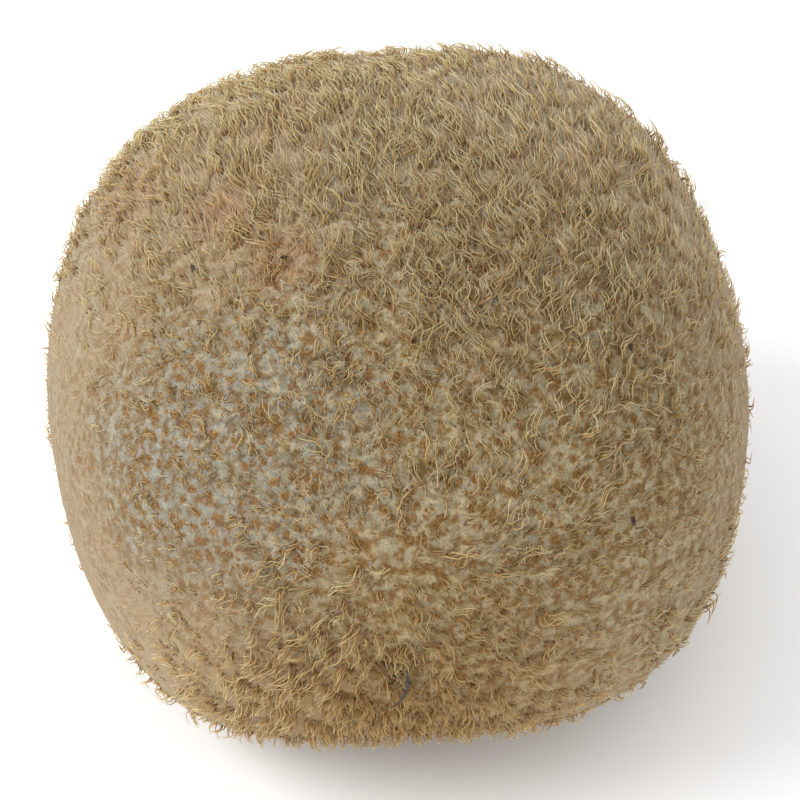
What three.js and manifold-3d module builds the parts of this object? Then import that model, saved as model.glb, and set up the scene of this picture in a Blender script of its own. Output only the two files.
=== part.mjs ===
// A whole hairy green kiwi fruit, lying on its side on a small flat spot.
// Millimetres, +Z up. Y is the fruit's long axis: the blossom end, with its tuft of dried
// styles, points to -Y, and the stem end, with its woody scar, points to +Y.
// The origin is on the resting surface, below the middle of the fruit's box.
// The solid is the fruit as it grew, in one piece. Its surface is the felted skin that the
// long hairs stand on, and the felt is raised as a low random relief.

import * as THREE from "three";
import { mergeVertices } from "three/addons/utils/BufferGeometryUtils.js";
import Module from "manifold-3d";

// Driving dimensions: the fruit across, along and through, over its felted skin
const WIDTH = 50;
const LENGTH = 55.2;
const THICKNESS = 42.8;

// How square the fruit is: 2 is an ellipse, and more has fuller corners
const GIRTH_POWER = 2.5;
const PROFILE_POWER = 2.45;

// The fruit rests where this much of its lowest point is pressed flat
const FLAT_CUT = 0.35;

// Low swellings and hollows. Their middles lie on a ring round the fruit that leans back from
// upright, and each angle goes round that ring from +X over the top.
const RING_LEAN = 44;
const SWELLING_SPREAD = 0.05;
const SWELLINGS = [
  { angle: 0, height: 0.3 },
  { angle: 30, height: -0.5 },
  { angle: 60, height: -0.4 },
  { angle: 90, height: -0.8 },
  { angle: 120, height: -0.5 },
  { angle: 150, height: 0.7 },
  { angle: 180, height: 1.0 },
  { angle: 210, height: -0.1 },
  { angle: 240, height: 1.7 },
  { angle: 270, height: -1.4 },
  { angle: 300, height: 0.1 },
  { angle: 330, height: 0.4 },
];

// Blossom end: a low hard mound with a pit, in which the dried styles stand
const MOUND_RADIUS = 5.2;
const MOUND_HEIGHT = 0.9;
const PIT_RADIUS = 1.9;
const PIT_DEPTH = 0.8;

// Stem end: a shallow dimple round the raised, cupped, woody scar of the stalk
const DIMPLE_RADIUS = 5.5;
const DIMPLE_DEPTH = 1.3;
const SCAR_RADIUS = 2.5;
const SCAR_HEIGHT = 0.9;
const SCAR_EDGE = 0.7;
const CUP_RADIUS = 1.3;
const CUP_DEPTH = 0.45;

// Dried styles: thin stiff stubs that lean outwards all round, in two rings
const STYLE_RINGS = [
  { count: 5, radius: 0.6, lean: 20, length: 1.3 },
  { count: 10, radius: 1.3, lean: 52, length: 1.5 },
];
const STYLE_ROOT_RADIUS = 0.3;
const STYLE_TIP_RADIUS = 0.16;
const STYLE_SIDES = 4;
const STYLE_SUNK = 1.0;
const STYLE_JITTER = 0.4;

// Felt: each point of the skin stands out by up to this much, and by less close to the long
// axis, where the mesh is finer
const FELT_RELIEF = 0.4;
const FELT_FULL_FROM = 12;

// The skin's mesh: sides round the fruit, and rings from end to end, crowded near the ends
const SIDES = 84;
const RINGS = 56;
const RING_CROWDING = 0.55;

const SKIN_COLOUR = 0x94805f;
const SEED = 20417;

const halfWidth = WIDTH / 2;
const halfLength = LENGTH / 2;
const halfThickness = THICKNESS / 2;
const { degToRad, smoothstep } = THREE.MathUtils;

// A seeded source of numbers from 0 to 1
function seededRandom(seed) {
  let state = seed;
  return () => {
    state = (Math.imul(state, 1664525) + 1013904223) >>> 0;
    return state / 2 ** 32;
  };
}

const random = seededRandom(SEED);

// How far out the plain rounded form lies along a direction
function plainRadius(d) {
  const girth =
    Math.abs(d.x / halfWidth) ** GIRTH_POWER + Math.abs(d.z / halfThickness) ** GIRTH_POWER;
  const profile = Math.abs(d.y / halfLength) ** PROFILE_POWER;
  return (girth ** (PROFILE_POWER / GIRTH_POWER) + profile) ** (-1 / PROFILE_POWER);
}

const ringLean = degToRad(RING_LEAN);
const swellings = SWELLINGS.map(({ angle, height }) => {
  const [across, up] = [Math.cos(degToRad(angle)), Math.sin(degToRad(angle))];
  const middle = new THREE.Vector3(across, up * Math.sin(ringLean), up * Math.cos(ringLean));
  return { middle, height };
});

// How far the swellings lift the skin along a direction
function swellingRise(d) {
  return swellings.reduce(
    (rise, { middle, height }) => rise + height * Math.exp((d.dot(middle) - 1) / SWELLING_SPREAD),
    0,
  );
}

// A round bump of height 1 and its radius, at a distance from its middle
const bump = (distance, radius) => Math.exp(-((distance / radius) ** 2));

// How far each end stands out along the long axis, at a distance from that axis
function blossomEndRise(distance) {
  return MOUND_HEIGHT * bump(distance, MOUND_RADIUS) - PIT_DEPTH * bump(distance, PIT_RADIUS);
}

function stemEndRise(distance) {
  const scar = SCAR_HEIGHT * (1 - smoothstep(distance, SCAR_RADIUS - SCAR_EDGE, SCAR_RADIUS));
  const dimple = DIMPLE_DEPTH * bump(distance, DIMPLE_RADIUS);
  return scar - dimple - CUP_DEPTH * bump(distance, CUP_RADIUS);
}

// The point of the skin that lies along a direction from the fruit's middle
function skinPoint(d) {
  const p = d.clone().multiplyScalar(plainRadius(d) + swellingRise(d));
  const distance = Math.hypot(p.x, p.z);
  p.y += d.y < 0 ? -blossomEndRise(distance) : stemEndRise(distance);
  return p;
}

// The skin as a geometry: a ball with its poles at the fruit's ends, drawn out to its form
function skinGeometry() {
  const sphere = new THREE.SphereGeometry(1, SIDES, RINGS);
  sphere.deleteAttribute("normal");
  sphere.deleteAttribute("uv");
  const ball = mergeVertices(sphere, 1e-5);
  const place = ball.attributes.position;
  const d = new THREE.Vector3();
  for (let i = 0; i < place.count; i++) {
    d.fromBufferAttribute(place, i).normalize();
    const even = Math.acos(THREE.MathUtils.clamp(d.y, -1, 1));
    const crowded = even - (RING_CROWDING / 2) * Math.sin(2 * even);
    d.setFromSphericalCoords(1, crowded, Math.atan2(d.x, d.z));
    const p = skinPoint(d);
    const fullness = Math.min(1, Math.hypot(p.x, p.z) / FELT_FULL_FROM);
    p.addScaledVector(d, FELT_RELIEF * fullness * random());
    place.setXYZ(i, p.x, p.y, p.z);
  }
  return ball;
}

// One dried style, which leans outwards at an angle round the long axis
function styleGeometry(round, { radius, lean, length }) {
  const stick = new THREE.CylinderGeometry(
    STYLE_TIP_RADIUS,
    STYLE_ROOT_RADIUS,
    length + STYLE_SUNK,
    STYLE_SIDES,
  );
  stick.translate(0, (length - STYLE_SUNK) / 2, 0);
  const outward = new THREE.Vector3(Math.cos(round), 0, Math.sin(round));
  const way = new THREE.Vector3(0, -Math.cos(degToRad(lean)), 0);
  way.addScaledVector(outward, Math.sin(degToRad(lean)));
  const turn = new THREE.Quaternion().setFromUnitVectors(new THREE.Vector3(0, 1, 0), way);
  stick.applyQuaternion(turn);
  const root = outward.multiplyScalar(radius);
  root.y = -halfLength - blossomEndRise(radius);
  stick.translate(root.x, root.y, root.z);
  return stick;
}

// Every dried style of the tuft, with a little chance in its lean, length and place
function styleGeometries() {
  const jitter = (size) => 1 + size * (random() - 0.5);
  return STYLE_RINGS.flatMap((ring) =>
    Array.from({ length: ring.count }, (_, i) =>
      styleGeometry((2 * Math.PI * (i + STYLE_JITTER * random())) / ring.count, {
        radius: ring.radius,
        lean: ring.lean * jitter(STYLE_JITTER),
        length: ring.length * jitter(STYLE_JITTER),
      }),
    ),
  );
}

const wasm = await Module();
wasm.setup();

// A three.js geometry as a solid, and a solid as a three.js geometry
function toSolid(geometry) {
  const bare = geometry.clone();
  bare.deleteAttribute("normal");
  bare.deleteAttribute("uv");
  const merged = mergeVertices(bare, 1e-5);
  return new wasm.Manifold(
    new wasm.Mesh({
      numProp: 3,
      vertProperties: merged.attributes.position.array,
      triVerts: new Uint32Array(merged.index.array),
    }),
  );
}

function toGeometry(solid) {
  const mesh = solid.getMesh();
  const geometry = new THREE.BufferGeometry();
  geometry.setAttribute("position", new THREE.BufferAttribute(mesh.vertProperties, 3));
  geometry.setIndex(new THREE.BufferAttribute(mesh.triVerts, 1));
  const faceted = geometry.toNonIndexed();
  faceted.computeVertexNormals();
  return faceted;
}

// The slab below the flat spot, which is cut away
function belowFlatSpot() {
  const slab = new THREE.BoxGeometry(WIDTH, LENGTH, THICKNESS);
  slab.translate(0, 0, FLAT_CUT - THICKNESS);
  return slab;
}

// The fruit, moved so that the origin lies on the resting surface, below its box's middle
function kiwiFruit() {
  const withStyles = styleGeometries().reduce(
    (solid, geometry) => solid.add(toSolid(geometry)),
    toSolid(skinGeometry()),
  );
  const geometry = toGeometry(withStyles.subtract(toSolid(belowFlatSpot())));
  geometry.computeBoundingBox();
  const { min, max } = geometry.boundingBox;
  geometry.translate(-(min.x + max.x) / 2, -(min.y + max.y) / 2, -min.z);
  const material = new THREE.MeshStandardMaterial({
    color: SKIN_COLOUR,
    roughness: 0.95,
    metalness: 0,
  });
  const mesh = new THREE.Mesh(geometry, material);
  mesh.name = "kiwi_fruit";
  return mesh;
}

const fruit = new THREE.Group();
fruit.add(kiwiFruit());

export default fruit;
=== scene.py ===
"""A whole hairy green kiwi fruit, lying on its side on a pale floor in soft studio light.

Shapes are worked out in millimetres from the fruit's middle, and are made in metres in the
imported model's frame. Y is the fruit's long axis: the blossom end points to -Y and the stem
end to +Y. A way is a unit vector from the fruit's middle. An array of ways, points or steps
has x, y and z as its last axis.
"""

import bpy
import numpy as np
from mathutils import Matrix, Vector


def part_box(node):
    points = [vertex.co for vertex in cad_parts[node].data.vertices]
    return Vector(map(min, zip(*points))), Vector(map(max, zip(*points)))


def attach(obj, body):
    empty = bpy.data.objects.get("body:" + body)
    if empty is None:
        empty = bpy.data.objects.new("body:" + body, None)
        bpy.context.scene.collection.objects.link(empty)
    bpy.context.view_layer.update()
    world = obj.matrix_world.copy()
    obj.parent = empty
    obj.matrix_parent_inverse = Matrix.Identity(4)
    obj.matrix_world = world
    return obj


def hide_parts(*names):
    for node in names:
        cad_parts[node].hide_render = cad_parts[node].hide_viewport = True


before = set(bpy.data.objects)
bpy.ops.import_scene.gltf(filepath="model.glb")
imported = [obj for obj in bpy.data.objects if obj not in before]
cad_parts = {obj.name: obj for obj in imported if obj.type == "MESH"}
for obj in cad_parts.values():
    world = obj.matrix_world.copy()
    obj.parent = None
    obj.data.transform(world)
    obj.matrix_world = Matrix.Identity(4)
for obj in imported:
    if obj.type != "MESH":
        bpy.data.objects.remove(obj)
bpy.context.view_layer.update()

NODE = "kiwi_fruit"
BODY = "root"
MM = 0.001
UP = np.array([0.0, 0.0, 1.0])

# The fruit's form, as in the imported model: half its width, length and thickness, and how
# square it is, where 2 is an ellipse
HALF_WIDTH = 25.0
HALF_LENGTH = 27.6
HALF_THICKNESS = 21.4
GIRTH_POWER = 2.5
PROFILE_POWER = 2.45
FLAT_CUT = 0.35

# How many even ways measure the form
FORM_WAYS = 40000
FORM_SEED = 1

# Low swellings and hollows, each this many degrees further round a ring that leans back
RING_LEAN = 44
SWELLING_STEP = 30
SWELLING_SPREAD = 0.05
SWELLING_HEIGHTS = [0.3, -0.5, -0.4, -0.8, -0.5, 0.7, 1.0, -0.1, 1.7, -1.4, 0.1, 0.4]

# Blossom end: a low mound with a pit
MOUND_RADIUS = 5.2
MOUND_HEIGHT = 0.9
PIT_RADIUS = 1.9
PIT_DEPTH = 0.8

# Stem end: a dimple round the raised, cupped scar of the stalk
DIMPLE_RADIUS = 5.5
DIMPLE_DEPTH = 1.3
SCAR_RADIUS = 2.5
SCAR_HEIGHT = 0.9
SCAR_EDGE = 0.7
CUP_RADIUS = 1.3
CUP_DEPTH = 0.45

# The skin's mesh and its felt, whose height is a mean and a roughness
SKIN_SEED = 11
SKIN_SIDES = 240
SKIN_RINGS = 160
RING_CROWDING = 0.45
FELT_MEAN = 0.3
FELT_ROUGHNESS = 0.045
FELT_WAVELENGTH = 1.1

# Smooth noise is made of waves from this many to this many times its wavelength
RIPPLE_LENGTHS = (0.7, 1.4)

# Where the felt is thicker: the way there, how far round it spreads, and by how much. It is
# thinner where that is below 0.
THICK_FELT = [
    ((-0.93, -0.3, 0.15), 0.15, 0.5),
    ((-0.96, 0.15, 0.2), 0.04, 0.3),
    ((-0.86, -0.42, -0.3), 0.05, 0.4),
    ((0.95, -0.28, 0.1), 0.1, 0.5),
    ((0.71, -0.5, -0.5), 0.06, 0.6),
    ((0.26, 0.67, 0.7), 0.04, 0.5),
    ((0.15, -0.72, -0.68), 0.04, -0.5),
]

# The kinds of hair. Each grows in so many locks, whose members stand this far apart, gather by
# this share towards their tips, or part where it is below 0, and wander this far from their
# lock's line. Length, curl and waves are ranges. Lift, the angle over the skin at the root,
# and bend, how much of it is lost to the tip, are a mean and a spread. Curl, sway and strays
# turn a hair aside, and angles are in radians. A kind is this dense elsewhere than on its
# patches, whose edges are this ragged.

# Curls: long thick hairs that mat together
CURLS = {
    "seed": 23,
    "locks": 4500,
    "members": 3,
    "apart": 0.3,
    "gather": 0.3,
    "wander": 0.2,
    "pieces": 3,
    "stations": 7,
    "length": (1.7, 4.2),
    "radius": 0.062,
    "taper": 0.65,
    "mat_height": 0.9,
    "lift": (1.0, 0.25),
    "bend": (0.95, 0.3),
    "curl": (0.5, 1.25),
    "waves": (0.5, 1.1),
    "sway": 0.3,
    "strays": 0.25,
    "elsewhere": 0.03,
    "ragged": 0.15,
}

# Wisps: short thin hairs, each bent like a comma
WISPS = {
    "seed": 31,
    "locks": 3400,
    "members": 3,
    "apart": 0.17,
    "gather": 0.5,
    "wander": 0.1,
    "pieces": 2,
    "stations": 5,
    "length": (0.8, 2.0),
    "radius": 0.05,
    "taper": 0.6,
    "mat_height": 0.45,
    "lift": (0.5, 0.2),
    "bend": (0.55, 0.2),
    "curl": (0.4, 1.1),
    "waves": (0.3, 0.6),
    "sway": 0.4,
    "strays": 0.45,
    "elsewhere": 0.1,
    "ragged": 0.1,
}

# Down: fine soft hairs that lie alike
DOWN = {
    "seed": 29,
    "locks": 10600,
    "members": 1,
    "apart": 0.0,
    "gather": 0.0,
    "wander": 0.0,
    "pieces": 1,
    "stations": 4,
    "length": (1.5, 3.3),
    "radius": 0.045,
    "taper": 0.65,
    "mat_height": 0.6,
    "lift": (0.8, 0.12),
    "bend": (0.6, 0.12),
    "curl": (0.1, 0.35),
    "waves": (0.3, 0.6),
    "sway": 0.2,
    "strays": 0.12,
    "elsewhere": 0.08,
    "ragged": 0.1,
}

# Tufts: short thick hairs, a few of which stand together and lean apart
TUFTS = {
    "seed": 37,
    "locks": 2600,
    "members": 5,
    "apart": 0.16,
    "gather": -0.6,
    "wander": 0.1,
    "pieces": 1,
    "stations": 2,
    "length": (0.4, 0.8),
    "radius": 0.12,
    "taper": 0.3,
    "mat_height": 0.4,
    "lift": (0.9, 0.2),
    "bend": (0.5, 0.2),
    "curl": (0.0, 0.2),
    "waves": (0.3, 0.6),
    "sway": 0.3,
    "strays": 0.6,
    "elsewhere": 0.05,
    "ragged": 0.1,
}

# How much shorter curls are where the skin is bare, and down is where it isn't furry
CURLS_SHORTER = 0.7
DOWN_SHORTER = 0.6

# Each hair is this much of its lock's size and this much of its kind's thickness
MEMBER_SIZES = (0.75, 1.1)
MEMBER_THICKNESSES = (0.75, 1.25)

# A hair nods up and down by this share of its curl, and the line on which it wanders turns by
# this angle along it
NOD = 0.4
WANDER_TURN = 4.5

# How many sides a hair has, and how far along it the colour of its body lies
HAIR_SIDES = 3
HAIR_BODY_PLACE = 0.4

# How much of the light that meets a hair shines into it, and how deep
HAIR_SUBSURFACE = 0.8
HAIR_SUBSURFACE_DEPTH = 0.25

# How much of a hair's tone is drawn for itself, where the rest is its lock's
OWN_TONE = 0.5

# How many evenly spread places are drawn for each place where hairs are rooted, the least
# share of its density that clumping leaves a place, and the least weight of any place
ROOT_CHOICES = 5
LEAST_CLUMPED = 0.05
LEAST_WEIGHT = 1e-6

# Locks that stand within about this many millimetres of each other lean alike
SWAY_WIDTH = 4.0

# Hairs crowd together and are lighter or darker together by noise of this wavelength, which
# changes their density and their tone by these shares
CLUMP_WAVELENGTH = 1.7
CLUMP_DENSITY = 0.8
CLUMP_TONE = 0.16

# The hairs lie over along the skin this way, less this share of what points out of the skin,
# turned aside by up to this many degrees, most where the fruit faces up
COMBED_TOWARDS = np.array([0.0, 0.93, -0.36])
COMBED_FLAT = 0.999
COMB_TWIST = 14

# How much more steeply, in radians, hairs rise where they stand upright, and by what share
# their mat is higher there
UPRIGHT_LIFT = 0.5
UPRIGHT_MAT = 0.6

# How much less hairs curl and stray where they stand upright or are furry
TIDINESS = 0.65

# Patches of the skin: the way to the middle of each, how far it spreads, and its share at
# the middle. Their edges are ragged by noise of this wavelength, and those that colour the
# skin and the blotched ones by this much.
RAGGED_WAVELENGTH = 6.0
COLOUR_RAGGED = 0.2
BLOTCH_RAGGED = 0.25
MATTED = [
    ((0.3, -0.3, 0.9), 0.18, 1.0),
    ((-0.5, 0.1, 0.85), 0.12, 0.45),
    ((0.05, -0.98, -0.2), 0.05, 1.0),
    ((-0.3, -0.93, -0.2), 0.05, 0.6),
    ((-0.3, 0.6, 0.7), 0.12, 0.6),
    ((0.5, 0.6, -0.6), 0.25, 0.5),
    ((-0.6, 0.2, -0.75), 0.2, 0.5),
]
WISPY = [
    ((0.0, -0.8, 0.6), 0.22, 1.0),
    ((0.45, -0.85, 0.1), 0.15, 0.8),
    ((-0.35, -0.9, 0.2), 0.12, 0.8),
    ((-0.35, -0.7, 0.6), 0.1, 0.8),
    ((-0.1, 0.8, 0.55), 0.2, 0.8),
    ((0.5, 0.6, -0.6), 0.25, 0.4),
    ((-0.6, 0.2, -0.75), 0.2, 0.4),
]
FURRY = [
    ((-0.6, 0.12, 0.78), 0.16, 1.0),
    ((0.3, 0.35, 0.9), 0.15, 0.8),
    ((0.85, -0.1, 0.5), 0.1, 0.6),
    ((-0.2, 0.7, -0.7), 0.3, 0.6),
    ((0.5, -0.3, -0.8), 0.3, 0.5),
    ((-0.93, 0.15, -0.3), 0.12, 0.6),
]
UPRIGHT = [
    ((-0.1, -0.95, -0.28), 0.12, 1.0),
    ((0.5, 0.8, 0.2), 0.2, 0.5),
    ((-0.7, 0.3, -0.6), 0.2, 0.5),
]
OLIVE = [
    ((0.3, -0.4, 0.86), 0.25, 1.0),
    ((0.0, -0.78, 0.62), 0.15, 0.7),
    ((0.5, -0.82, 0.1), 0.12, 0.7),
    ((0.1, -0.98, -0.2), 0.05, 0.7),
    ((-0.1, 0.75, 0.6), 0.1, 0.6),
    ((0.6, 0.5, -0.6), 0.2, 0.8),
    ((-0.6, 0.2, -0.75), 0.2, 0.7),
]
BARE = [
    ((-0.92, -0.33, 0.22), 0.08, 1.0),
    ((-0.78, -0.62, -0.1), 0.06, 0.9),
    ((0.18, -0.78, -0.6), 0.05, 0.9),
    ((-0.38, -0.69, 0.61), 0.045, 0.3),
    ((-0.48, -0.83, 0.29), 0.05, 0.4),
    ((0.53, -0.84, 0.09), 0.05, 0.5),
    ((0.93, -0.33, 0.15), 0.07, 0.9),
    ((-0.2, 0.85, 0.5), 0.06, 0.4),
    ((0.7, 0.5, -0.5), 0.08, 0.4),
]
# Pale grey patches: partly the skin's own grey and partly a painted sheen, chiefly on the left side
# towards the light
PALE_AND_SHEEN = [
    ((-0.38, -0.69, 0.61), 0.035, 0.85),
    ((-0.5, -0.81, 0.3), 0.035, 0.75),
    ((-0.18, -0.78, 0.59), 0.03, 0.5),
    ((-0.17, -0.16, 0.97), 0.006, 0.6),
    ((-0.68, -0.6, 0.45), 0.02, 0.45),
    ((-0.2, 0.85, 0.5), 0.05, 0.7),
    ((0.7, 0.5, -0.5), 0.06, 0.6),
]
BLOTCHED = [
    ((-0.3, -0.75, 0.58), 0.14, 1.0),
    ((-0.72, -0.65, 0.2), 0.12, 0.5),
    ((0.4, -0.85, 0.3), 0.18, 0.8),
    ((0.3, -0.4, 0.85), 0.2, 0.8),
    # Partly painted shade: a dark brown gap behind the strands at the blossom end
    ((0.1, -0.98, -0.2), 0.04, 0.8),
    ((-0.2, 0.85, 0.5), 0.15, 0.8),
    ((0.6, 0.5, -0.6), 0.25, 0.8),
    ((-0.6, 0.2, -0.75), 0.2, 0.6),
]
PINK = [
    ((-0.52, -0.14, 0.84), 0.005, 0.9),
    ((-0.34, -0.38, 0.86), 0.005, 0.8),
    ((-0.35, 0.25, 0.9), 0.01, 0.35),
    ((-0.75, 0.1, 0.65), 0.01, 0.5),
    ((0.55, 0.1, 0.83), 0.008, 0.2),
]
WARM = [
    ((0.05, -0.97, -0.25), 0.12, 1.0),
    ((-0.4, -0.9, -0.1), 0.1, 0.2),
    ((0.93, -0.33, 0.0), 0.1, 0.35),
    ((0.4, 0.8, -0.4), 0.2, 0.6),
]
# Painted light: patches where the skin and hairs are painted lighter, for the light that falls there
PAINTED_LIGHT = [
    ((-0.15, 0.4, 0.9), 0.12, 0.65),
    ((-0.6, 0.35, 0.7), 0.08, 0.5),
    ((0.5, 0.35, 0.8), 0.08, 0.65),
    ((0.85, 0.1, 0.5), 0.07, 0.5),
    ((-0.4, -0.15, 0.9), 0.06, 0.3),
    ((-0.45, -0.85, -0.25), 0.06, 0.9),
    ((0.45, -0.85, -0.3), 0.05, 0.6),
    ((0.2, 0.5, -0.8), 0.2, 0.5),
]
PINK_TINT = (1.0, 0.77, 0.74, 1)
WARM_TINT = (0.93, 0.79, 0.6, 1)

# Painted light: where the skin and hairs are painted lighter, for the light that falls there, the
# skin nears this colour by this share, and the hairs' tone is this much lighter
PAINTED_LIGHT_SKIN = (0.5, 0.4, 0.27, 1)
PAINTED_LIGHT_SKIN_SHARE = 0.4
PAINTED_LIGHT_TONE = 0.5

# Dark crumbs caught in the hairs: the way to each, and its half length. All lie this far
# over the skin, have these shares of that half length across, along and through, and lumps of
# this size and wavelength, as shares of it.
CRUMBS = [
    ((-0.57, -0.33, 0.75), 0.36),
    ((-0.34, -0.38, 0.86), 0.28),
    ((0.58, -0.52, 0.63), 0.33),
    ((0.54, -0.78, 0.31), 0.36),
    ((0.3, 0.9, 0.2), 0.35),
    ((-0.8, 0.5, -0.2), 0.35),
]
CRUMB_RISE = 0.5
CRUMB_SHAPE = (0.45, 1.0, 0.35)
CRUMB_LUMPS = 0.25
CRUMB_LUMP_WAVELENGTH = 1.0
CRUMB_SIDES = 12
CRUMB_STATIONS = 7
CRUMBS_SEED = 47

# Dried styles at the blossom end, in rings: how many, how far from the long axis, how far
# they lean from it in degrees, and how long they are. One is longer and hangs down.
STYLE_RINGS = [
    {"count": 5, "radius": 0.6, "lean": 20, "length": 0.9},
    {"count": 9, "radius": 1.2, "lean": 52, "length": 1.1},
]
LONG_STYLE = {"turn": -107, "radius": -0.9, "lean": 12, "length": 5.0, "droop": 105}
STYLE_SEED = 41
STYLE_RADIUS = 0.15
STYLE_TAPER = 0.55
STYLE_DROOP = 30
STYLE_STATIONS = 8
STYLE_SIDES = 6
STYLE_SUNK = 0.6

# How far a style turns out of its place, as a share of the gap to the next one, and how many
# times its ring's lean and length it has
STYLE_SCATTER = 0.5
STYLE_VARIETY = (0.8, 1.2)

# Waves along a style, in its angle, to its side and in its thickness: how high, how many
# radians they turn along it, and how many times its own turn they start at
STYLE_BEND = (0.12, 7, 5)
STYLE_SIDE_BEND = (0.25, 4, 3)
STYLE_WRINKLES = (0.25, 11, 2)

# The woody scar at the stem end: its rings and sides, how far it stands out of the skin, the
# power by which it falls off to its edge, how deep it goes and how far it laps over the skin
SCAR_SEED = 43
SCAR_STATIONS = 24
SCAR_SIDES = 72
SCAR_PROUD = 0.12
SCAR_FALL = 6
SCAR_SUNK = 0.7
SCAR_LAP = 0.25

# The scar's torn edge and its rough top, by noise of these wavelengths
TORN_EDGE = 0.06
TORN_WAVELENGTH = 0.9
ROUGH_TOP = 0.05
ROUGH_WAVELENGTH = 0.7

# The scar's cracks: how many and how deep, the power that makes them narrow, how far in radians
# they bend and how many times round the scar, how far out they are deepest, as a share of its
# radius, and how far they reach from there
SCAR_CRACKS = 11
CRACK_DEPTH = 0.28
CRACK_POWER = 0.4
CRACK_BEND = 2
CRACK_BENDS_ROUND = 3
CRACK_MIDDLE = 0.62
CRACK_REACH = 0.8

# No hair stands this close to the blossom end's or the stem end's middle, or lower than this
# over the floor
BARE_BLOSSOM_RADIUS = 0.5
BARE_STEM_RADIUS = 2.7
LOWEST_ROOT = 1.3

# Hairs start this deep in the skin, and keep this far off the floor
ROOT_DEPTH = 0.15
FLOOR_GAP = 0.02

# What the skin's colours follow: the share of a mottling, beside the fur's streaks, in the
# felt's and the olive ones, and of a fine grain, beside the mottling, in the pale grey ones,
# which are partly painted sheen
FELT_MOTTLING = 0.2
OLIVE_MOTTLING = 0.6
PALE_AND_SHEEN_GRAIN = 0.2

# How far, in millimetres, noise moves the blotches' outlines
BLOTCH_BENDING = 0.9

# Thin strands on the felt: the scale of their noise, and how far from its middle they reach
NOISE_MIDDLE = 0.5
THIN_STRANDS = [(0.9, 0.035), (1.25, 0.05), (1.6, 0.05)]

# How strongly coarse noise bends the streaks of fur
FLOW_BENDING = 2.5

# The skin's fine relief: how many times as high as the mottling the grain, the fur and the thin
# strands are, and the height of it all in millimetres, and of the wood's relief
GRAIN_RELIEF = 0.6
FUR_RELIEF = 3.0
STRAND_RELIEF = 0.5
SKIN_RELIEF = 0.12
WOOD_RELIEF = 0.2

# Half the floor's side in metres
FLOOR_HALF = 3.0

# The even light's strength, and the key light's width and place in metres and its power in
# watts
WORLD_STRENGTH = 1.06
KEY_SIZE = 0.5
KEY_PLACE = (-0.56, -0.09, 0.46)
KEY_POWER = 4.0

# The photo: its side, how many of its pixels show a millimetre at the fruit's middle, and
# where it shows that middle. Then the camera's height over it in degrees, its distance and its
# sensor's width in millimetres, and how near, in metres, it starts to see.
PHOTO_SIDE = 800
PIXELS_PER_MM = 13.1
MIDDLE_PIXEL = (402, 386)
CAMERA_ELEVATION = 44
CAMERA_DISTANCE = 220
SENSOR_WIDTH = 36
CAMERA_NEAR = 0.01


def unit(vectors):
    """The vectors at length 1."""
    return vectors / np.linalg.norm(vectors, axis=-1, keepdims=True)


def dot(a, b):
    """The dot product of each pair, with its last axis kept."""
    return (a * b).sum(-1, keepdims=True)


def bump(distance, radius):
    """A round bump of height 1: e to the power of minus the squared share of its radius."""
    return np.exp(-((distance / radius) ** 2))


def plain_radius(ways):
    """How far out the plain form lies: x and z as shares of their half sizes, each to the
    girth's power, add up to the girth, which joins y's share to the profile's power."""
    x, y, z = np.moveaxis(np.abs(ways), -1, 0)
    girth = (x / HALF_WIDTH) ** GIRTH_POWER + (z / HALF_THICKNESS) ** GIRTH_POWER
    profile = (y / HALF_LENGTH) ** PROFILE_POWER
    return (girth ** (PROFILE_POWER / GIRTH_POWER) + profile) ** (-1 / PROFILE_POWER)


def nearness(ways, towards, spread):
    """1 towards the middle of a patch, and less further round by e to the power of the
    cosine's shortfall over the spread."""
    return np.exp((ways @ unit(np.array(towards)) - 1) / spread)


def swelling_rise(ways):
    """How far the swellings lift the skin: the sum of each height times its nearness."""
    lean = np.radians(RING_LEAN)
    rise = 0
    for number, height in enumerate(SWELLING_HEIGHTS):
        angle = np.radians(number * SWELLING_STEP)
        across = np.cos(angle)
        over = np.sin(angle)
        towards = (across, over * np.sin(lean), over * np.cos(lean))
        rise = rise + height * nearness(ways, towards, SWELLING_SPREAD)
    return rise


def blossom_end_rise(distance):
    """How far the blossom end stands out: a mound less a pit, both round bumps."""
    return MOUND_HEIGHT * bump(distance, MOUND_RADIUS) - PIT_DEPTH * bump(distance, PIT_RADIUS)


def stem_end_rise(distance):
    """How far the stem end stands out: a flat scar with a smooth edge, less two bumps."""
    share = np.clip((distance - SCAR_RADIUS + SCAR_EDGE) / SCAR_EDGE, 0, 1)
    scar = SCAR_HEIGHT * (1 - share**2 * (3 - 2 * share))
    dimple = DIMPLE_DEPTH * bump(distance, DIMPLE_RADIUS)
    return scar - dimple - CUP_DEPTH * bump(distance, CUP_RADIUS)


def skin_points(ways):
    """The skin's points along the ways, lifted by the felt: the way times its radius, with
    the ends moved along Y."""
    felt = FELT_MEAN + sum(more * nearness(ways, way, spread) for way, spread, more in THICK_FELT)
    points = ways * (plain_radius(ways) + swelling_rise(ways) + felt)[..., None]
    distance = np.hypot(points[..., 0], points[..., 2])
    blossom = ways[..., 1] < 0
    rise = np.where(blossom, -blossom_end_rise(distance), stem_end_rise(distance))
    points[..., 1] += rise
    return points


def skin_normals(ways):
    """The skin's outward direction: the cross product of two short steps over the skin."""
    reach = 0.002
    first = unit(np.cross(ways, np.array([0.31, 0.17, 0.93])))
    second = np.cross(ways, first)
    here = skin_points(ways)
    along = skin_points(unit(ways + reach * first)) - here
    over = skin_points(unit(ways + reach * second)) - here
    return unit(np.cross(along, over))


def ripples(points, wavelength, rng, waves=40):
    """Smooth noise, mostly from -1 to 1: the sum of plane waves of random direction, phase
    and length."""
    lengths = wavelength * rng.uniform(*RIPPLE_LENGTHS, (waves, 1))
    numbers = unit(rng.normal(size=(waves, 3))) * 2 * np.pi / lengths
    phases = rng.uniform(0, 2 * np.pi, waves)
    return np.sin(points @ numbers.T + phases).sum(-1) / np.sqrt(waves)


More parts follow.
